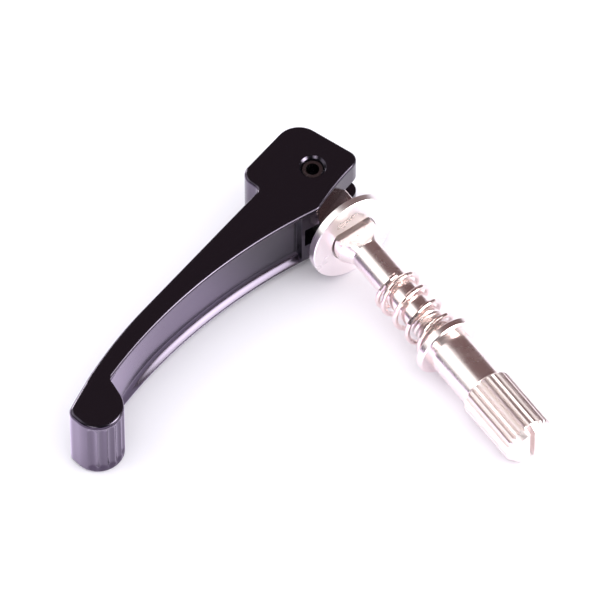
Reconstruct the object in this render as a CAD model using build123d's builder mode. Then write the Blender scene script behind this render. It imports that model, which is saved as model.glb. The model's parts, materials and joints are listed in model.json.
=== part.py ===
from build123d import *
from math import acos, atan2, cos, hypot, radians, sin, sqrt, tau
import os

# Clamp bolt with a cam lever: eye bolt, forked lever on a hollow pin, washer, spring and thumb nut.
# X runs along the bolt towards the nut, Z is up, the handle points towards -Y.
# The origin is the centre of the washer's clamping face, on the bolt's axis.

os.makedirs("parts", exist_ok=True)

# ---- bolt ----
shank_radius = 3.0            # M6 thread and shank
neck_radius = 4.4             # turned head before its flats are cut
tang_half_thickness = 2.4
pin_to_face = 12.35           # pin axis to the washer's clamping face
flats_end = 0.0               # where the flats begin to run out
cone_start = 1.6
cone_end = 3.8                # where cone and run-out meet the shank
bolt_end = 40.0
bolt_end_chamfer = 0.6

# ---- pin ----
pin_radius = 2.0
pin_bore_radius = 1.2
pin_recess = 0.8              # below each face of the lever
pin_edge = 0.2
pin_running_fit = 0.05
hole_chamfer = 0.4

# ---- lever, in its own plane: x towards the bolt, y away from the handle ----
lever_turn = 15.0             # handle's turn from -Y towards the nut, degrees
lever_thickness = 15.0
ear_thickness = 5.0
cam_distance = 5.55           # hollow cam face to the pin axis
nose_x = 5.5                  # cam face at the end of the head
end_left = 5.8                # end face above the pin, at the outer side
end_right = 7.0               # and at the cam side
outer_side = 8.9              # outer side of the head, left of the pin
shoulder_y = -9.5             # step from the head to the handle
heel_y = -6.0                 # where cam face and handle meet
slot_floor_y = -8.7
handle_outer_x = -4.3
handle_straight_end_y = -41.5
handle_outer_bow = 90.0
handle_inner_bow = 102.0
handle_waist_x = -0.5         # the inner side's furthest point to the left
handle_waist_y = -42.8
handle_inner_end_y = -56.0
tip_centre_x = 2.15
tip_centre_y = -61.65
tip_radius = 4.65
tip_end_y = -66.05            # where the handle's outer side ends
tip_corner_round = 1.8
head_corner_round = 4.5
nose_round = 2.0
back_corner_round = 1.6
heel_round = 1.0
notch_round = 0.9
edge_bevel = 0.5
web_depth = 1.6               # it runs out to nothing at the tip
flange_thickness = 1.6
web_start_y = -9.5
flute_margin = 1.0            # the grip flutes stop short of each broad face
flute_count = 5
flute_radius = 1.1
flute_pitch = 21.0            # degrees round the tip
flute_first = -61.5           # degrees round the tip, from +x

# ---- washer ----
washer_radius = 8.55
washer_thickness = 1.6
washer_hole_radius = 4.7
washer_hole_half_height = 3.2
washer_lean = 7.5             # it hangs loose on the neck, top towards the lever
washer_edge = 0.15

# ---- nut ----
flange_radius = 6.0
flange_back = 26.6
flange_front = 28.2
barrel_radius = 4.18
knurl_start = 38.7
knurl_end = 51.3
knurl_radius = 4.84
knurl_depth = 0.35
knurl_teeth = 28
nut_end = 52.7
nut_end_radius = 3.9
nut_bore_clearance = 0.08
nut_bore_end = 49.0
nut_bore_point = 1.3
driver_slot_width = 1.0
driver_slot_depth = 1.3
flange_edge = 0.25

# ---- spring ----
wire_radius = 0.45
wire_sides = 12               # the wire is drawn as a prism of the same section area
wire_steps = 20               # straight pieces in each turn
coil_radius = 4.12
spring_front = 12.1
spring_sag = 0.3              # it hangs towards the shank
closed_turns = 1.0
closed_pitch = 0.98
open_turns = 3.25

cutter_reach = 20.0           # cutting bodies end this far out, clear of every piece

# ================= bolt =================
pin_x = -pin_to_face
bolt_profile = [
    (pin_x - neck_radius, 0),
    (pin_x - neck_radius, neck_radius),
    (cone_start, neck_radius),
    (cone_end, shank_radius),
    (bolt_end - bolt_end_chamfer, shank_radius),
    (bolt_end, shank_radius - bolt_end_chamfer),
    (bolt_end, 0),
]
with BuildPart() as bolt:
    with BuildSketch(Plane.XY) as turned:
        with BuildLine():
            Polyline(*bolt_profile, close=True)
        make_face()
    revolve(axis=Axis.X)
    # flats on both sides, running out up to the shank
    with BuildSketch(Plane.XZ) as flats:
        with BuildLine():
            Polyline(
                (pin_x - cutter_reach, tang_half_thickness),
                (flats_end, tang_half_thickness),
                (cone_end, shank_radius),
                (cone_end, cutter_reach),
                (pin_x - cutter_reach, cutter_reach),
                close=True,
            )
        make_face()
        mirror(about=Plane.XZ)
    extrude(amount=cutter_reach, both=True, mode=Mode.SUBTRACT)
    # the eye is round about the pin
    with BuildSketch(Plane.XY) as eye:
        with Locations((pin_x, 0)):
            Circle(neck_radius)
        with Locations(((pin_x + bolt_end) / 2, 0)):
            Rectangle(bolt_end - pin_x, 2 * neck_radius)
    extrude(amount=neck_radius, both=True, mode=Mode.INTERSECT)
    with Locations((pin_x, 0, 0)):
        Cylinder(pin_radius + pin_running_fit, cutter_reach, mode=Mode.SUBTRACT)
bolt.part.label = "bolt"

# ================= lever =================
turn = radians(lever_turn)
lever_plane = Plane(origin=(pin_x, 0, 0), x_dir=(cos(turn), sin(turn), 0), z_dir=(0, 0, 1))
half_thickness = lever_thickness / 2
slot_half_width = half_thickness - ear_thickness


def inner_side(y):
    """A point of the handle's concave side."""
    return (
        handle_waist_x + handle_inner_bow - sqrt(handle_inner_bow**2 - (y - handle_waist_y) ** 2),
        y,
    )


def outer_side_arc(y):
    """A point of the handle's convex side."""
    return (
        handle_outer_x
        + handle_outer_bow
        - sqrt(handle_outer_bow**2 - (y - handle_straight_end_y) ** 2),
        y,
    )


def tip_tangent(start, turn_side):
    """Where a line from a point of the handle touches the round tip."""
    away_x = start[0] - tip_centre_x
    away_y = start[1] - tip_centre_y
    angle = atan2(away_y, away_x) + turn_side * acos(tip_radius / hypot(away_x, away_y))
    return (
        tip_centre_x + tip_radius * cos(angle),
        tip_centre_y + tip_radius * sin(angle),
    )


def corner(solid, point):
    """The upright edge of a solid nearest to a point of the lever's plane."""
    place = lever_plane.from_local_coords(Vector(*point, 0))
    return solid.edges().filter_by(Axis.Z).sort_by_distance(place)[0]


shoulder_inner = (handle_outer_x, shoulder_y)
shoulder_outer = (-outer_side, shoulder_y)
head_corner = (-outer_side, end_left)
nose = (nose_x, end_right)
heel = inner_side(heel_y)
notch = inner_side(handle_inner_end_y)
tip_corner = outer_side_arc(tip_end_y)
handle_bend = outer_side_arc(handle_straight_end_y)


with BuildPart() as lever:
    with BuildSketch(lever_plane.offset(-half_thickness)) as outline:
        with BuildLine():
            Polyline(handle_bend, shoulder_inner, shoulder_outer, head_corner, nose)
            ThreePointArc(nose, (cam_distance, 0), heel)
            ThreePointArc(heel, inner_side(handle_waist_y), notch)
            Line(notch, tip_tangent(notch, -1))
            ThreePointArc(
                tip_tangent(notch, -1),
                (tip_centre_x + tip_radius, tip_centre_y),
                tip_tangent(tip_corner, 1),
            )
            Line(tip_tangent(tip_corner, 1), tip_corner)
            ThreePointArc(
                tip_corner,
                outer_side_arc((handle_straight_end_y + tip_end_y) / 2),
                handle_bend,
            )
        make_face()
    extrude(amount=lever_thickness)
    fillet(corner(lever, head_corner), head_corner_round)
    fillet(corner(lever, nose), nose_round)
    fillet(corner(lever, shoulder_outer), back_corner_round)
    fillet(corner(lever, shoulder_inner), notch_round)
    fillet(corner(lever, heel), heel_round)
    fillet(corner(lever, notch), notch_round)
    fillet(corner(lever, tip_corner), tip_corner_round)
    # every edge of the two broad faces is broken
    chamfer(lever.faces().filter_by(Axis.Z).edges(), edge_bevel)
    # upright grip flutes round the tip, blind at both ends
    flute_reach = tip_radius * cos(radians(flute_pitch / 2)) + sqrt(
        flute_radius**2 - (tip_radius * sin(radians(flute_pitch / 2))) ** 2
    )
    with BuildSketch(lever_plane) as flutes:
        with Locations((tip_centre_x, tip_centre_y)):
            with PolarLocations(
                flute_reach,
                flute_count,
                start_angle=flute_first,
                angular_range=flute_pitch * flute_count,
            ):
                Circle(flute_radius)
    extrude(amount=half_thickness - flute_margin, both=True, mode=Mode.SUBTRACT)
    # shallow web along the concave side, between two flanges
    web_top_x = inner_side(web_start_y)[0] - web_depth
    with BuildSketch(lever_plane.offset(-half_thickness + flange_thickness)) as web:
        with BuildLine():
            Polyline(
                (web_top_x, web_start_y),
                (cutter_reach, web_start_y),
                (cutter_reach, handle_inner_end_y),
                notch,
            )
            ThreePointArc(
                notch,
                (handle_waist_x - web_depth, handle_waist_y),
                (web_top_x, web_start_y),
            )
        make_face()
    extrude(amount=lever_thickness - 2 * flange_thickness, mode=Mode.SUBTRACT)
    # the fork's slot runs right through the head
    with BuildSketch(lever_plane) as slot:
        with Locations((0, slot_floor_y)):
            Rectangle(2 * cutter_reach, cutter_reach, align=(Align.CENTER, Align.MIN))
    extrude(amount=slot_half_width, both=True, mode=Mode.SUBTRACT)
    # pin hole with a chamfered mouth at each face
    with Locations(lever_plane):
        Cylinder(pin_radius, lever_thickness, mode=Mode.SUBTRACT)
    for face_z in (half_thickness, -half_thickness):
        with Locations(lever_plane.offset(face_z * (1 - hole_chamfer / lever_thickness))):
            Cone(
                pin_radius if face_z > 0 else pin_radius + hole_chamfer,
                pin_radius + hole_chamfer if face_z > 0 else pin_radius,
                hole_chamfer,
                mode=Mode.SUBTRACT,
            )
lever.part.label = "lever"

# ================= pin =================
pin_half_length = half_thickness - pin_recess
with BuildPart() as pivot_pin:
    with Locations((pin_x, 0, 0)):
        Cylinder(pin_radius, 2 * pin_half_length)
    chamfer(pivot_pin.faces().filter_by(Axis.Z).edges(), pin_edge)
    with Locations((pin_x, 0, 0)):
        Cylinder(pin_bore_radius, 2 * pin_half_length, mode=Mode.SUBTRACT)
pivot_pin.part.label = "pivot_pin"

# ================= washer =================
lean = radians(washer_lean)
washer_plane = Plane(origin=(0, 0, 0), x_dir=(0, 1, 0), z_dir=(cos(lean), 0, sin(lean)))
with BuildPart() as washer:
    with BuildSketch(washer_plane) as disc:
        Circle(washer_radius)
    extrude(amount=-washer_thickness)
    chamfer(washer.faces().filter_by(GeomType.PLANE).edges(), washer_edge)
    with BuildSketch(washer_plane) as keyhole:
        Circle(washer_hole_radius)
        Rectangle(2 * washer_radius, 2 * washer_hole_half_height, mode=Mode.INTERSECT)
    extrude(amount=-washer_thickness, mode=Mode.SUBTRACT)
washer.part.label = "washer"

# ================= nut =================
bore_radius = shank_radius + nut_bore_clearance
groove_side = hypot(knurl_depth, knurl_depth)
nut_profile = [
    (flange_back, 0),
    (flange_back, flange_radius - flange_edge),
    (flange_back + flange_edge, flange_radius),
    (flange_front - flange_edge, flange_radius),
    (flange_front, flange_radius - flange_edge),
    (flange_front, barrel_radius),
    (knurl_start, barrel_radius),
    (knurl_start + knurl_radius - barrel_radius, knurl_radius),
    (knurl_end, knurl_radius),
    (nut_end, nut_end_radius),
    (nut_end, 0),
]
bore_profile = [
    (flange_back, 0),
    (flange_back, bore_radius + flange_edge),
    (flange_back + flange_edge, bore_radius),
    (nut_bore_end - nut_bore_point, bore_radius),
    (nut_bore_end, 0),
]
with BuildPart() as nut:
    with BuildSketch(Plane.XY) as nut_half:
        with BuildLine():
            Polyline(*nut_profile, close=True)
        make_face()
        with BuildLine():
            Polyline(*bore_profile, close=True)
        make_face(mode=Mode.SUBTRACT)
    revolve(axis=Axis.X)
    # straight knurl: V grooves along the grip
    with BuildSketch(Plane.YZ.offset(knurl_start)) as grooves:
        with PolarLocations(knurl_radius, knurl_teeth):
            Rectangle(groove_side, groove_side, rotation=45)
    extrude(amount=nut_end - knurl_start, mode=Mode.SUBTRACT)
    # screwdriver slot across the end
    with Locations((nut_end, 0, 0)):
        Box(
            driver_slot_depth,
            driver_slot_width,
            2 * knurl_radius,
            align=(Align.MAX, Align.CENTER, Align.CENTER),
            mode=Mode.SUBTRACT,
        )
nut.part.label = "nut"

# ================= spring =================
spring_length = flange_back - spring_front
closed_rise = closed_turns * closed_pitch
open_rise = spring_length - 2 * wire_radius - 2 * closed_rise
open_pitch = open_rise / open_turns
spring_plane = Plane(
    origin=(spring_front + wire_radius, 0, -spring_sag), x_dir=(0, 0, 1), z_dir=(1, 0, 0)
)


def coil_point(turns):
    """Centre of the wire after a number of turns from the front end."""
    last_turns = max(0.0, turns - closed_turns - open_turns)
    mid_turns = min(max(0.0, turns - closed_turns), open_turns)
    first_turns = min(turns, closed_turns)
    rise = (first_turns + last_turns) * closed_pitch + mid_turns * open_pitch
    angle = tau * turns
    return spring_plane.from_local_coords(
        Vector(coil_radius * cos(angle), coil_radius * sin(angle), rise)
    )


all_turns = 2 * closed_turns + open_turns
wire_points = [coil_point(i / wire_steps) for i in range(round(all_turns * wire_steps) + 1)]
prism_radius = wire_radius * sqrt(tau / (wire_sides * sin(tau / wire_sides)))
with BuildPart() as spring:
    with BuildLine() as wire:
        Polyline(*wire_points)
    with BuildSketch(Plane(origin=wire_points[0], z_dir=wire.line % 0)) as wire_end:
        RegularPolygon(prism_radius, wire_sides)
    sweep(path=wire.line, transition=Transition.RIGHT)
spring.part.label = "spring"

for piece in (bolt, lever, pivot_pin, washer, nut, spring):
    export_step(piece.part, f"parts/{piece.part.label}.step")
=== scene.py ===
import bpy, bmesh, json, math
from mathutils import Matrix, Vector


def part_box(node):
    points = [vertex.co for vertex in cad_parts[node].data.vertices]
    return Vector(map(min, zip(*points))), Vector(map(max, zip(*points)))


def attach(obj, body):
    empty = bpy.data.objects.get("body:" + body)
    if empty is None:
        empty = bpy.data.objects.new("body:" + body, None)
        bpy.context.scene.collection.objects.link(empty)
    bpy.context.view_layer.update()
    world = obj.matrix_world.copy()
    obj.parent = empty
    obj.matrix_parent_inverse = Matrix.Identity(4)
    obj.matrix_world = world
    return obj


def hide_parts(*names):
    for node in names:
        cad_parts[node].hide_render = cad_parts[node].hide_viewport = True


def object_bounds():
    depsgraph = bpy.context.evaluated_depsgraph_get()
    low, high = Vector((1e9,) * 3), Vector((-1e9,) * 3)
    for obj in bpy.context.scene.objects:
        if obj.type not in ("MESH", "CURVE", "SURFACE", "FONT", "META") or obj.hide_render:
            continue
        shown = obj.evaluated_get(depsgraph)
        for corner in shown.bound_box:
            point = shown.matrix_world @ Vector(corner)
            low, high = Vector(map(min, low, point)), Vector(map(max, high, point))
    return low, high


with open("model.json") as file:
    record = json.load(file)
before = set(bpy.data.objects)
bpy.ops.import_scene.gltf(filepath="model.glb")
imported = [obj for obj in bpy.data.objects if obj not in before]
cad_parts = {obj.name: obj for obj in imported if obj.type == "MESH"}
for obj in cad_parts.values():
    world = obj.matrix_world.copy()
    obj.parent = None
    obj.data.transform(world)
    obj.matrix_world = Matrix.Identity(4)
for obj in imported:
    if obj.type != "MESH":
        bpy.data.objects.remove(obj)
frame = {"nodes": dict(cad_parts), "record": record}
cad_lo, cad_hi = [v.copy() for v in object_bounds()]

MM = 0.001


# ---------------------------------------------------------------- materials
# scales of the noise in a finish, and how far it stands in or out
PATCHES, GRAIN, RIPPLE = 260.0, 900.0, 420.0
PLATING_RELIEF, ENAMEL_RELIEF = 0.02 * MM, 0.03 * MM
PATCH_ROUGHNESS = 0.08


def new_material(name):
    m = bpy.data.materials.new(name)
    m.use_nodes = True
    tree = m.node_tree
    shader = tree.nodes["Principled BSDF"]
    return m, tree, shader


def math_node(tree, operation, *values):
    """A math node's output; each value is a number or another node's output."""
    node = tree.nodes.new("ShaderNodeMath")
    node.operation = operation
    for socket, value in zip(node.inputs, values):
        if isinstance(value, bpy.types.NodeSocket):
            tree.links.new(value, socket)
        else:
            socket.default_value = value
    return node.outputs[0]


def nickel(name, colour, roughness, bump, thread=None, coarse=None):
    """Plated metal; thread is (start x, end x, pitch), coarse is (start x, roughness added past it)."""
    m, t, s = new_material(name)
    s.inputs["Base Color"].default_value = (*colour, 1)
    s.inputs["Metallic"].default_value = 1.0
    coord = t.nodes.new("ShaderNodeTexCoord")
    noise = t.nodes.new("ShaderNodeTexNoise")
    noise.inputs["Scale"].default_value = PATCHES
    noise.inputs["Detail"].default_value = 4.0
    t.links.new(coord.outputs["Object"], noise.inputs["Vector"])
    ramp = t.nodes.new("ShaderNodeMapRange")
    ramp.inputs["From Min"].default_value = 0.3
    ramp.inputs["From Max"].default_value = 0.7
    ramp.inputs["To Min"].default_value = roughness
    ramp.inputs["To Max"].default_value = roughness + PATCH_ROUGHNESS
    t.links.new(noise.outputs["Fac"], ramp.inputs["Value"])
    t.links.new(ramp.outputs["Result"], s.inputs["Roughness"])
    if thread or coarse:
        # the piece's own coordinates, so that the finish moves with it
        own = t.nodes.new("ShaderNodeSeparateXYZ")
        t.links.new(coord.outputs["Object"], own.inputs[0])
        x, y, z = own.outputs
    if coarse:
        from_x, extra = coarse
        past = math_node(t, "GREATER_THAN", x, from_x)
        rough = math_node(t, "MULTIPLY_ADD", past, extra, ramp.outputs["Result"])
        t.links.new(rough, s.inputs["Roughness"])
    b = t.nodes.new("ShaderNodeBump")
    b.inputs["Strength"].default_value = bump
    b.inputs["Distance"].default_value = PLATING_RELIEF
    fine = t.nodes.new("ShaderNodeTexNoise")
    fine.inputs["Scale"].default_value = GRAIN
    t.links.new(coord.outputs["Object"], fine.inputs["Vector"])
    t.links.new(fine.outputs["Fac"], b.inputs["Height"])
    t.links.new(b.outputs["Normal"], s.inputs["Normal"])
    if thread:
        start, end, pitch = thread
        angle = math_node(t, "ARCTAN2", z, y)
        turns = math_node(t, "MULTIPLY_ADD", angle, 1 / (2 * math.pi), math_node(t, "DIVIDE", x, pitch))
        flank = math_node(t, "PINGPONG", turns, 0.5)
        past_start = math_node(t, "GREATER_THAN", x, start)
        before_end = math_node(t, "LESS_THAN", x, end)
        inside = math_node(t, "MULTIPLY", past_start, before_end)
        ridges = t.nodes.new("ShaderNodeBump")
        ridges.inputs["Strength"].default_value = 1.0
        ridges.inputs["Distance"].default_value = pitch
        t.links.new(math_node(t, "MULTIPLY", flank, inside), ridges.inputs["Height"])
        t.links.new(b.outputs["Normal"], ridges.inputs["Normal"])
        t.links.new(ridges.outputs["Normal"], s.inputs["Normal"])
    return m


def gloss_black(name, roughness, ior, bump, soft_edge):
    """Black stove enamel, with its edges softened by a small bevel in the shading."""
    m, t, s = new_material(name)
    s.inputs["Base Color"].default_value = (0.004, 0.0035, 0.005, 1)
    s.inputs["Metallic"].default_value = 0.0
    s.inputs["Roughness"].default_value = roughness
    s.inputs["IOR"].default_value = ior
    # painted reflection colour: the lavender specular tint stands in for the lavender floor mirrored in the
    # enamel
    s.inputs["Specular Tint"].default_value = (0.90, 0.76, 1.0, 1)
    coord = t.nodes.new("ShaderNodeTexCoord")
    noise = t.nodes.new("ShaderNodeTexNoise")
    noise.inputs["Scale"].default_value = RIPPLE
    noise.inputs["Detail"].default_value = 2.0
    t.links.new(coord.outputs["Object"], noise.inputs["Vector"])
    edge = t.nodes.new("ShaderNodeBevel")
    edge.samples = 6
    edge.inputs["Radius"].default_value = soft_edge
    b = t.nodes.new("ShaderNodeBump")
    b.inputs["Strength"].default_value = bump
    b.inputs["Distance"].default_value = ENAMEL_RELIEF
    t.links.new(noise.outputs["Fac"], b.inputs["Height"])
    t.links.new(edge.outputs["Normal"], b.inputs["Normal"])
    t.links.new(b.outputs["Normal"], s.inputs["Normal"])
    return m


NICKEL = (0.86, 0.77, 0.75)
THREAD = (21.5 * MM, 29 * MM, 1.0 * MM)
KNURL_START = 38.7 * MM
threaded = nickel("nickel_threaded", NICKEL, 0.22, 0.15, thread=THREAD)
knurled = nickel("nickel_knurled", NICKEL, 0.22, 0.15, coarse=(KNURL_START, 0.10))
plated_wire = nickel("nickel_wire", (0.82, 0.69, 0.66), 0.20, 0.08)
turned = nickel("nickel_turned", (0.86, 0.81, 0.80), 0.26, 0.2)
paint = gloss_black("black_paint", 0.17, 1.55, 0.10, 0.12 * MM)
pin_metal = nickel("black_oxide", (0.16, 0.155, 0.165), 0.22, 0.2)

looks = {
    "bolt": threaded,
    "washer": turned,
    "spring": plated_wire,
    "nut": knurled,
    "lever": paint,
    "pivot_pin": pin_metal,
}
for node, material in looks.items():
    o = frame["nodes"][node]
    o.data.materials.clear()
    o.data.materials.append(material)

# ---------------------------------------------------------------- lever, with its cast edges
# sizes in millimetres in the lever's own plane: x towards the bolt, y away from the handle, pin at 0
LEVER_TURN = math.radians(15.0)
HALF = 7.5
WAIST, INNER_BOW = (-0.5, -42.8), 102.0
BEND, OUTER_BOW = (-4.3, -41.5), 90.0
SHOULDER_Y, HEAD_SIDE_X, HEAD_TOP_Y = -9.5, -8.9, 5.8
NOSE, CAM = (5.5, 7.0), (5.55, 0)
HEEL_Y, NOTCH_Y, TIP_END_Y = -6.0, -56.0, -66.05
TIP, TIP_RADIUS = (2.15, -61.65), 4.65
INNER_ROUND, SHOULDER_ROUND, HEAD_ROUND = 0.9, 2.4, 4.5
NOSE_ROUND, HEEL_ROUND, TIP_CORNER_ROUND = 2.0, 1.0, 1.8
EDGE, TIP_EDGE = 0.55, 0.75
TIP_EDGE_FROM, TIP_EDGE_FULL, TIP_EDGE_LIFT = 6.6, 5.4, 1.5
WEB_DEPTH, WEB_TOP, WEB_END, WEB_RUN_OUT = 1.3, -9.5, -57.5, 18.0
FLUTES, FLUTE_PITCH, FLUTE_FIRST, FLUTE_RADIUS = 5, math.radians(21), math.radians(-61.5), 1.1
FLUTE_END, FLUTE_END_LIFT = 1.9, 0.48
SLOT_FLOOR_Y, SLOT_HALF, SLOT_REACH = -8.7, 2.5, 15
HOLE_RADIUS, HOLE_MOUTH, HOLE_FLARE = 2.0, 2.4, 2.9
HOLE_STRAIGHT, HOLE_PAST = 7.1, 8.0
SPACING = 0.22
ON_INNER_SIDE, ON_TIP_ROUND = 0.05, 0.02

hinge = next(j for j in frame["record"]["behaviour"]["joints"] if j["name"] == "lever_hinge")
pivot = Vector(hinge["pos_m"])
across = Vector((math.cos(LEVER_TURN), math.sin(LEVER_TURN), 0))
along = Vector((-math.sin(LEVER_TURN), math.cos(LEVER_TURN), 0))


def bow(x, y0, radius, y):
    """A point of a circle that touches the line x at height y0."""
    return (x + radius - math.sqrt(radius**2 - (y - y0) ** 2), y)


def inner(y):
    return bow(*WAIST, INNER_BOW, y)


def outer(y):
    return bow(*BEND, OUTER_BOW, y)


def run(a, b, n):
    return [(a[0] + (b[0] - a[0]) * i / n, a[1] + (b[1] - a[1]) * i / n) for i in range(n + 1)]


def ring(centre, radius, start, end, n):
    return [
        (centre[0] + radius * math.cos(start + (end - start) * i / n),
         centre[1] + radius * math.sin(start + (end - start) * i / n))
        for i in range(n + 1)
    ]


def arc_through(a, b, c, n):
    """Points of the circle through three points, from the first to the last."""
    ax, ay, bx, by, cx, cy = *a, *b, *c
    d = 2 * (ax * (by - cy) + bx * (cy - ay) + cx * (ay - by))
    ux = ((ax**2 + ay**2) * (by - cy) + (bx**2 + by**2) * (cy - ay) + (cx**2 + cy**2) * (ay - by)) / d
    uy = ((ax**2 + ay**2) * (cx - bx) + (bx**2 + by**2) * (ax - cx) + (cx**2 + cy**2) * (bx - ax)) / d
    start = math.atan2(ay - uy, ax - ux)
    sweep = (math.atan2(cy - uy, cx - ux) - start + math.pi) % (2 * math.pi) - math.pi
    return ring((ux, uy), math.hypot(ax - ux, ay - uy), start, start + sweep, n)


def tangent_angle(point, side):
    dx, dy = point[0] - TIP[0], point[1] - TIP[1]
    return math.atan2(dy, dx) + side * math.acos(TIP_RADIUS / math.hypot(dx, dy))


bend = outer(BEND[1])
shoulder_inner, shoulder_outer = (BEND[0], SHOULDER_Y), (HEAD_SIDE_X, SHOULDER_Y)
head_corner, heel = (HEAD_SIDE_X, HEAD_TOP_Y), inner(HEEL_Y)
notch, tip_corner = inner(NOTCH_Y), outer(TIP_END_Y)
first, last = tangent_angle(notch, -1), tangent_angle(tip_corner, 1)
last -= 2 * math.pi * math.ceil((last - first) / (2 * math.pi))
tip_round = ring(TIP, TIP_RADIUS, first, last, 200)
# each side of the outline, and the rounding where it meets the next
sides = [
    (run(bend, shoulder_inner, 60), INNER_ROUND),
    (run(shoulder_inner, shoulder_outer, 20), SHOULDER_ROUND),
    (run(shoulder_outer, head_corner, 60), HEAD_ROUND),
    (run(head_corner, NOSE, 60), NOSE_ROUND),
    (arc_through(NOSE, CAM, heel, 60), HEEL_ROUND),
    ([inner(HEEL_Y + (NOTCH_Y - HEEL_Y) * i / 250) for i in range(251)], INNER_ROUND),
    (run(notch, tip_round[0], 20), 0),
    (tip_round, 0),
    (run(tip_round[-1], tip_corner, 20), TIP_CORNER_ROUND),
    ([outer(TIP_END_Y + (BEND[1] - TIP_END_Y) * i / 120) for i in range(121)], 0),
]


def cut_back(points, length):
    """The points without their last stretch of a given length."""
    kept = list(points)
    while True:
        a, b = kept[-2], kept[-1]
        step = math.hypot(b[0] - a[0], b[1] - a[1])
        if step > length:
            t = 1 - length / step
            kept[-1] = (a[0] + (b[0] - a[0]) * t, a[1] + (b[1] - a[1]) * t)
            return kept
        length -= step
        kept.pop()


def heading(a, b):
    d = math.hypot(b[0] - a[0], b[1] - a[1])
    return ((b[0] - a[0]) / d, (b[1] - a[1]) / d)


curves = [list(points) for points, _ in sides]
fillets = []
for i, (points, radius) in enumerate(sides):
    j = (i + 1) % len(sides)
    if not radius:
        fillets.append([])
        continue
    u = heading(points[-2], points[-1])
    w = heading(sides[j][0][0], sides[j][0][1])
    swing = math.atan2(u[0] * w[1] - u[1] * w[0], u[0] * w[0] + u[1] * w[1])
    length = radius * math.tan(abs(swing) / 2)
    curves[i] = cut_back(curves[i], length)
    curves[j] = cut_back(curves[j][::-1], length)[::-1]
    p = curves[i][-1]
    hand = 1 if swing > 0 else -1
    c = (p[0] - hand * u[1] * radius, p[1] + hand * u[0] * radius)
    start = math.atan2(p[1] - c[1], p[0] - c[0])
    fillets.append(ring(c, radius, start, start + swing, 24)[1:-1])
SAME_POINT = 1e-4
path = []
for curve, fillet in zip(curves, fillets):
    path += [p for p in curve + fillet if not path or math.dist(p, path[-1]) > SAME_POINT]
if math.dist(path[0], path[-1]) < SAME_POINT:
    path.pop()
# even steps round the outline
steps = [math.hypot(path[(i + 1) % len(path)][0] - p[0], path[(i + 1) % len(path)][1] - p[1])
         for i, p in enumerate(path)]
count = round(sum(steps) / SPACING)
even, i, gone = [], 0, 0.0
for k in range(count):
    goal = k * sum(steps) / count
    while gone + steps[i] < goal:
        gone += steps[i]
        i += 1
    t = (goal - gone) / steps[i]
    a, b = path[i], path[(i + 1) % len(path)]
    even.append((a[0] + (b[0] - a[0]) * t, a[1] + (b[1] - a[1]) * t))
area2 = sum(even[k - 1][0] * p[1] - p[0] * even[k - 1][1] for k, p in enumerate(even))
inward = []
for k, p in enumerate(even):
    d = heading(even[k - 1], even[(k + 1) % count])
    inward.append((-d[1], d[0]) if area2 > 0 else (d[1], -d[0]))


def smooth_step(value, low, high):
    t = min(1.0, max(0.0, (value - low) / (high - low)))
    return t * t * (3 - 2 * t)


def web_share(p):
    """Depth of the web at a point of the outline, as a part of its full depth."""
    x, y = p
    if y > WEB_TOP or y < WEB_END or abs(x - inner(y)[0]) > ON_INNER_SIDE:
        return 0.0
    return math.sin(min(1.0, (y - WEB_END) / WEB_RUN_OUT) * math.pi / 2)


def flute_depth(p):
    """Depth of the grip flutes at a point of the outline."""
    angle = math.atan2(p[1] - TIP[1], p[0] - TIP[0])
    place = (angle - FLUTE_FIRST) / FLUTE_PITCH
    near = min(FLUTES - 1, max(0, round(place)))
    off = (place - near) * FLUTE_PITCH
    half = FLUTE_PITCH / 2
    if abs(off) > half or math.hypot(p[0] - TIP[0], p[1] - TIP[1]) < TIP_RADIUS - ON_TIP_ROUND:
        return 0.0
    reach = TIP_RADIUS * math.cos(half) + math.sqrt(FLUTE_RADIUS**2 - (TIP_RADIUS * math.sin(half)) ** 2)
    return TIP_RADIUS - reach * math.cos(off) + math.sqrt(FLUTE_RADIUS**2 - (reach * math.sin(off)) ** 2)


# levels from the top face down, as (scaled by the edge rounding, height under the top, depth inwards)
FLANGE_START, FLANGE_SLOPE, FLANGE_ROUND = 0.62, 0.50, 0.25
WEB_FILLET = 1.3
quarter = [math.radians(15 * k) for k in range(7)]
levels = [(True, 1 - math.cos(a), 1 - math.sin(a)) for a in quarter]
# the flange's inner edge: a small rounding, a 45 degree slope, and a hollow that runs up into the web
under = [(FLANGE_START + FLANGE_ROUND * math.sin(b), FLANGE_ROUND * (1 - math.cos(b))) for b in quarter[:4]]
slope_end = (under[-1][0] + FLANGE_SLOPE, under[-1][1] + FLANGE_SLOPE)
hollow = WEB_DEPTH - slope_end[1]
for t in (0, 0.15, 0.3, 0.5, 0.7, 0.85, 1):
    under.append((slope_end[0] + WEB_FILLET * t, slope_end[1] + hollow * (1 - (1 - t) ** 2)))
under += [(drop, WEB_DEPTH) for drop in (3.4, 5.0, HALF)]
levels += [(False, drop, push) for drop, push in under]
share = [web_share(p) for p in even]
flute = [flute_depth(p) for p in even]
edge = []
for p in even:
    away = math.hypot(p[0] - TIP[0], p[1] - TIP[1] + TIP_EDGE_LIFT)
    at_tip = smooth_step(away, TIP_EDGE_FROM, TIP_EDGE_FULL)
    edge.append(EDGE + (TIP_EDGE - EDGE) * at_tip)


def level_ring(level, sign):
    scaled, height, depth = level
    pts = []
    for k, p in enumerate(even):
        if scaled:
            drop, push = height * edge[k], depth * edge[k]
        else:
            drop = height
            ends = max(0.0, FLUTE_END - drop)
            push = max(depth * share[k], flute[k] - FLUTE_END_LIFT * ends**2, 0.0)
        z = sign * (HALF - drop)
        v = pivot + (across * (p[0] + inward[k][0] * push) + along * (p[1] + inward[k][1] * push)) * MM
        pts.append(Vector((v.x, v.y, pivot.z + z * MM)))
    return pts


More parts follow.
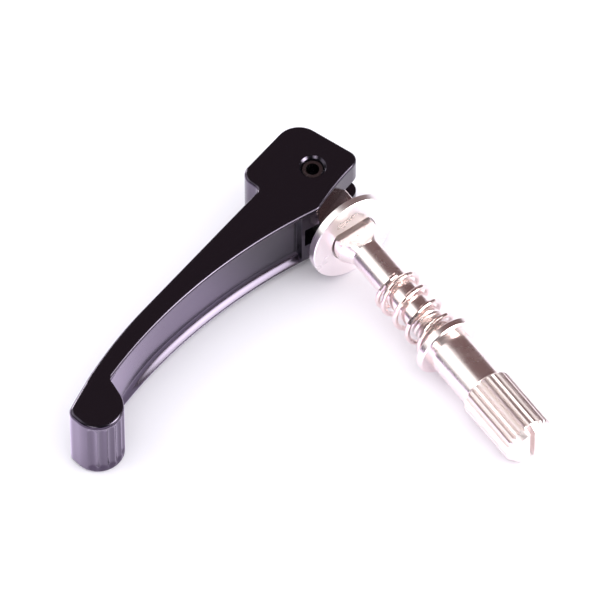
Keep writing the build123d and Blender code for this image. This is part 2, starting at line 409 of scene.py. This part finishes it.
rings = [level_ring(level, 1) for level in levels]
rings += [level_ring(level, -1) for level in levels[::-1][1:]]
bm = bmesh.new()
grid = [[bm.verts.new(v) for v in r] for r in rings]
for a, b in zip(grid, grid[1:]):
    for k in range(count):
        n = (k + 1) % count
        bm.faces.new((a[k], a[n], b[n], b[k])).smooth = True
bm.faces.new(grid[0])
bm.faces.new(grid[-1][::-1])
bmesh.ops.recalc_face_normals(bm, faces=bm.faces)
lever_mesh = bpy.data.meshes.new("lever_cast")
bm.to_mesh(lever_mesh)
bm.free()


def cutter(name, profile, sides_round, matrix):
    """A turned cutting body; profile is (radius, height) from bottom to top."""
    cut = bmesh.new()
    loops = [[cut.verts.new(matrix @ Vector((r * math.cos(2 * math.pi * k / sides_round),
                                             r * math.sin(2 * math.pi * k / sides_round), z)))
              for k in range(sides_round)] for r, z in profile]
    for a, b in zip(loops, loops[1:]):
        for k in range(sides_round):
            n = (k + 1) % sides_round
            cut.faces.new((a[k], a[n], b[n], b[k])).smooth = True
    cut.faces.new(loops[0][::-1])
    cut.faces.new(loops[-1])
    bmesh.ops.recalc_face_normals(cut, faces=cut.faces)
    mesh = bpy.data.meshes.new(name)
    cut.to_mesh(mesh)
    cut.free()
    o = bpy.data.objects.new(name, mesh)
    bpy.context.scene.collection.objects.link(o)
    return o


lever_frame = Matrix((across, along, Vector((0, 0, 1)))).transposed().to_4x4()
lever_frame.translation = pivot
in_mm = lever_frame @ Matrix.Scale(MM, 4)
hole_profile = [
    (HOLE_FLARE, -HOLE_PAST),
    (HOLE_MOUTH, -HALF),
    (HOLE_RADIUS, -HOLE_STRAIGHT),
    (HOLE_RADIUS, HOLE_STRAIGHT),
    (HOLE_MOUTH, HALF),
    (HOLE_FLARE, HOLE_PAST),
]
hole = cutter("hole_cutter", hole_profile, 96, in_mm)
# a square block, turned so that one side is the slot's floor
slot_place = Matrix.Translation((0, SLOT_FLOOR_Y + SLOT_REACH, 0))
slot_middle = slot_place @ Matrix.Rotation(math.radians(45), 4, "Z")
slot_corner = SLOT_REACH * math.sqrt(2)
slot = cutter("slot_cutter", [(slot_corner, -SLOT_HALF), (slot_corner, SLOT_HALF)], 4, in_mm @ slot_middle)
lever = bpy.data.objects.new("lever_cast", lever_mesh)
bpy.context.scene.collection.objects.link(lever)
for tool in (slot, hole):
    cut = lever.modifiers.new(tool.name, "BOOLEAN")
    cut.operation = "DIFFERENCE"
    cut.solver = "MANIFOLD"
    cut.object = tool
graph = bpy.context.evaluated_depsgraph_get()
finished = bpy.data.meshes.new_from_object(lever.evaluated_get(graph))
lever.modifiers.clear()
lever.data = finished
bpy.data.objects.remove(slot)
bpy.data.objects.remove(hole)
finished.name = "lever_cast_cut"
# a cut that fails can leave a cutter's body on the lever, outside its box: stop rather than show that
CUT_TOLERANCE = 0.2 * MM
box_low, box_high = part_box("lever")
for vertex in finished.vertices:
    for value, low, high in zip(vertex.co, box_low, box_high):
        if not low - CUT_TOLERANCE < value < high + CUT_TOLERANCE:
            raise RuntimeError("the lever's slot or pin hole was not cut cleanly")
LEVEL_FACE, LARGE_FACE = 0.9999, 20 * MM**2
for polygon in finished.polygons:
    polygon.use_smooth = abs(polygon.normal.z) < LEVEL_FACE or polygon.area < LARGE_FACE
finished.set_sharp_from_angle(angle=math.radians(32))
finished.materials.clear()
finished.materials.append(paint)
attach(lever, "lever")
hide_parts("lever")

# ---------------------------------------------------------------- floor, lamps and surroundings
lever_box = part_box("lever")
TIP_REACH, FLOOR_GAP = 4 * MM, 0.02 * MM


def lowest(node, keep):
    """The lowest vertex of a node among those that pass a test."""
    verts = [v.co for v in frame["nodes"][node].data.vertices if keep(v.co)]
    return min(verts, key=lambda c: c.z).copy()


support_washer = lowest("washer", lambda c: True)
support_nut = lowest("nut", lambda c: True)
tip_y = lever_box[0][1]
support_tip = lowest("lever", lambda c: c.y < tip_y + TIP_REACH)
up = (support_nut - support_washer).cross(support_tip - support_washer).normalized()
if up.z < 0:
    up = -up


def floor_frame():
    """A matrix whose z is the floor's own up."""
    x = (Vector((1, 0, 0)) - up * up.x).normalized()
    y = up.cross(x)
    rot = Matrix((x, y, up)).transposed().to_4x4()
    rot.translation = support_washer - up * FLOOR_GAP
    return rot


rest = floor_frame()


def sheet(name, size, material):
    """A flat rectangle of (width, height) that faces its own z."""
    w, h = size[0] / 2, size[1] / 2
    mesh = bpy.data.meshes.new(name)
    mesh.from_pydata([(-w, -h, 0), (w, -h, 0), (w, h, 0), (-w, h, 0)], [], [(0, 1, 2, 3)])
    mesh.materials.append(material)
    o = bpy.data.objects.new(name, mesh)
    bpy.context.scene.collection.objects.link(o)
    return o


floor_mat, ft, fs = new_material("floor_white")
fs.inputs["Base Color"].default_value = (0.93, 0.915, 0.945, 1)
fs.inputs["Roughness"].default_value = 0.85
fs.inputs["Specular IOR Level"].default_value = 0.1
# only reflections see the floor glow, a painted reflected light, by an amount set along y: faintly beside
# the head, as painted shade of the lever and washer, brightly beside the handle, and more so past its tip
GLOW_START, GLOW_FULL, GLOW_FAINT, GLOW_BRIGHT = -9 * MM, -27 * MM, 0.12, 1.15
TIP_GLOW_START, TIP_GLOW_FULL, TIP_GLOW = -60 * MM, -68 * MM, 0.6
spot = ft.nodes.new("ShaderNodeNewGeometry")
side = ft.nodes.new("ShaderNodeVectorMath")
side.operation = "DOT_PRODUCT"
side.inputs[1].default_value = (0, 1, 0)
ft.links.new(spot.outputs["Position"], side.inputs[0])
beside = ft.nodes.new("ShaderNodeMapRange")
beside.interpolation_type = "SMOOTHSTEP"
beside.inputs["From Min"].default_value = GLOW_START
beside.inputs["From Max"].default_value = GLOW_FULL
beside.inputs["To Min"].default_value = GLOW_FAINT
beside.inputs["To Max"].default_value = GLOW_BRIGHT
ft.links.new(side.outputs["Value"], beside.inputs["Value"])
past_tip = ft.nodes.new("ShaderNodeMapRange")
past_tip.inputs["From Min"].default_value = TIP_GLOW_START
past_tip.inputs["From Max"].default_value = TIP_GLOW_FULL
past_tip.inputs["To Max"].default_value = TIP_GLOW
ft.links.new(side.outputs["Value"], past_tip.inputs["Value"])
painted_glow_amount = math_node(ft, "ADD", beside.outputs["Result"], past_tip.outputs["Result"])
rays = ft.nodes.new("ShaderNodeLightPath")
only = math_node(ft, "MULTIPLY", painted_glow_amount, rays.outputs["Is Glossy Ray"])
ft.links.new(only, fs.inputs["Emission Strength"])
# painted reflected light: the lavender colour of the floor glow that the enamel mirrors
fs.inputs["Emission Color"].default_value = (0.76, 0.57, 0.96, 1)
floor = sheet("floor", (4.0, 4.0), floor_mat)
floor.matrix_world = rest

# the camera sees white past the floor, reflections see a dark room that is warmer on one side,
# and all other light is the fill
WARM_SIDE = Vector((-0.55, 0.45, 0.70)).normalized()
WARM_START, WARM_FULL = 0.10, 0.60
world = bpy.data.worlds.new("studio")
bpy.context.scene.world = world
world.use_nodes = True
wt = world.node_tree
wt.nodes.clear()


def background(colour, strength):
    node = wt.nodes.new("ShaderNodeBackground")
    node.inputs["Color"].default_value = (*colour, 1)
    node.inputs["Strength"].default_value = strength
    return node


def world_mix(factor, first, second):
    node = wt.nodes.new("ShaderNodeMixShader")
    wt.links.new(factor, node.inputs["Fac"])
    wt.links.new(first.outputs[0], node.inputs[1])
    wt.links.new(second.outputs[0], node.inputs[2])
    return node


fill = background((0.95, 0.94, 1.0), 0.96)
white = background((1, 1, 1), 1.0)
dark = background((0.030, 0.024, 0.028), 1.0)
warm = background((0.17, 0.096, 0.096), 1.0)
seen_by = wt.nodes.new("ShaderNodeLightPath")
way = wt.nodes.new("ShaderNodeTexCoord")
towards = wt.nodes.new("ShaderNodeVectorMath")
towards.operation = "DOT_PRODUCT"
towards.inputs[1].default_value = WARM_SIDE
wt.links.new(way.outputs["Generated"], towards.inputs[0])
warmth = wt.nodes.new("ShaderNodeMapRange")
warmth.interpolation_type = "SMOOTHSTEP"
warmth.inputs["From Min"].default_value = WARM_START
warmth.inputs["From Max"].default_value = WARM_FULL
wt.links.new(towards.outputs["Value"], warmth.inputs["Value"])
mirrored = world_mix(warmth.outputs["Result"], dark, warm)
hidden = world_mix(seen_by.outputs["Is Glossy Ray"], fill, mirrored)
shown = world_mix(seen_by.outputs["Is Camera Ray"], hidden, white)
out = wt.nodes.new("ShaderNodeOutputWorld")
wt.links.new(shown.outputs[0], out.inputs[0])

centre = (cad_lo + cad_hi) / 2


def place(o, compass, height, distance):
    """Puts a lamp or card round the object, facing it; compass runs from +X towards +Y, in degrees."""
    a, e = math.radians(compass), math.radians(height)
    d = Vector((math.cos(a) * math.cos(e), math.sin(a) * math.cos(e), math.sin(e)))
    o.location = centre + d * distance
    o.rotation_mode = "QUATERNION"
    o.rotation_quaternion = d.to_track_quat("Z", "Y")


def lamp(name, compass, height, distance, size, power):
    light = bpy.data.lights.new(name, "AREA")
    light.shape = "RECTANGLE"
    light.size, light.size_y = size
    light.energy = power
    o = bpy.data.objects.new(name, light)
    bpy.context.scene.collection.objects.link(o)
    o.visible_glossy = False
    place(o, compass, height, distance)


CARD_RIM = 0.85


def card(name, compass, height, distance, size, strength, fall):
    """A softbox's bright face, as polished surfaces mirror it; fall is how fast it dims towards its rim."""
    m = bpy.data.materials.new(name)
    m.use_nodes = True
    m.node_tree.nodes.clear()
    glow = m.node_tree.nodes.new("ShaderNodeEmission")
    glow.inputs["Color"].default_value = (1, 1, 1, 1)
    # brightest in the middle, as a softbox is
    where = m.node_tree.nodes.new("ShaderNodeTexCoord")
    part = m.node_tree.nodes.new("ShaderNodeVectorMath")
    part.operation = "MULTIPLY"
    part.inputs[1].default_value = (2 / size[0], 2 / size[1], 0)
    m.node_tree.links.new(where.outputs["Object"], part.inputs[0])
    reach = m.node_tree.nodes.new("ShaderNodeVectorMath")
    reach.operation = "LENGTH"
    m.node_tree.links.new(part.outputs[0], reach.inputs[0])
    near = m.node_tree.nodes.new("ShaderNodeMapRange")
    near.inputs["To Min"].default_value = 1.0
    near.inputs["To Max"].default_value = 0.0
    m.node_tree.links.new(reach.outputs["Value"], near.inputs["Value"])
    dimmed = math_node(m.node_tree, "POWER", near.outputs["Result"], fall)
    fade = math_node(m.node_tree, "MULTIPLY_ADD", dimmed, strength, CARD_RIM)
    m.node_tree.links.new(fade, glow.inputs["Strength"])
    end = m.node_tree.nodes.new("ShaderNodeOutputMaterial")
    m.node_tree.links.new(glow.outputs[0], end.inputs[0])
    o = sheet(name, size, m)
    o.visible_camera = False
    o.visible_diffuse = False
    o.visible_shadow = False
    place(o, compass, height, distance)


lamp("left_softbox", -132, 40, 0.8, (0.6, 0.6), 1.5)
lamp("right_softbox", 40, 35, 0.8, (0.5, 0.5), 2.0)
lamp("top_softbox", 0, 80, 0.9, (0.9, 0.9), 3.0)
card("left_card", -138, 37, 0.6, (0.75, 0.63), 3.2, 1.0)
card("right_card", 33, 28, 0.6, (0.60, 0.45), 36.0, 1.2)
card("rear_left_strip", -174, 14, 0.6, (0.24, 0.24), 36.0, 1.2)
card("front_strip", -56, 30, 0.6, (0.40, 0.18), 18.0, 1.2)

# ---------------------------------------------------------------- camera
azimuth, elevation = math.radians(54.17), math.radians(57.655)
aim = Vector((4.94, -15.19, 0)) * MM
camera_distance = 2.0
back = Vector((
    math.sin(azimuth) * math.cos(elevation),
    -math.cos(azimuth) * math.cos(elevation),
    math.sin(elevation),
))
cam = bpy.data.cameras.new("camera")
cam.sensor_width = 36
cam.lens = 686.7
cam.clip_start = 0.05
cam.clip_end = 20
cam_o = bpy.data.objects.new("camera", cam)
bpy.context.scene.collection.objects.link(cam_o)
cam_o.location = aim + back * camera_distance
cam_o.rotation_mode = "QUATERNION"
cam_o.rotation_quaternion = back.to_track_quat("Z", "Y")
bpy.context.scene.camera = cam_o
bpy.context.scene.view_settings.view_transform = "Standard"
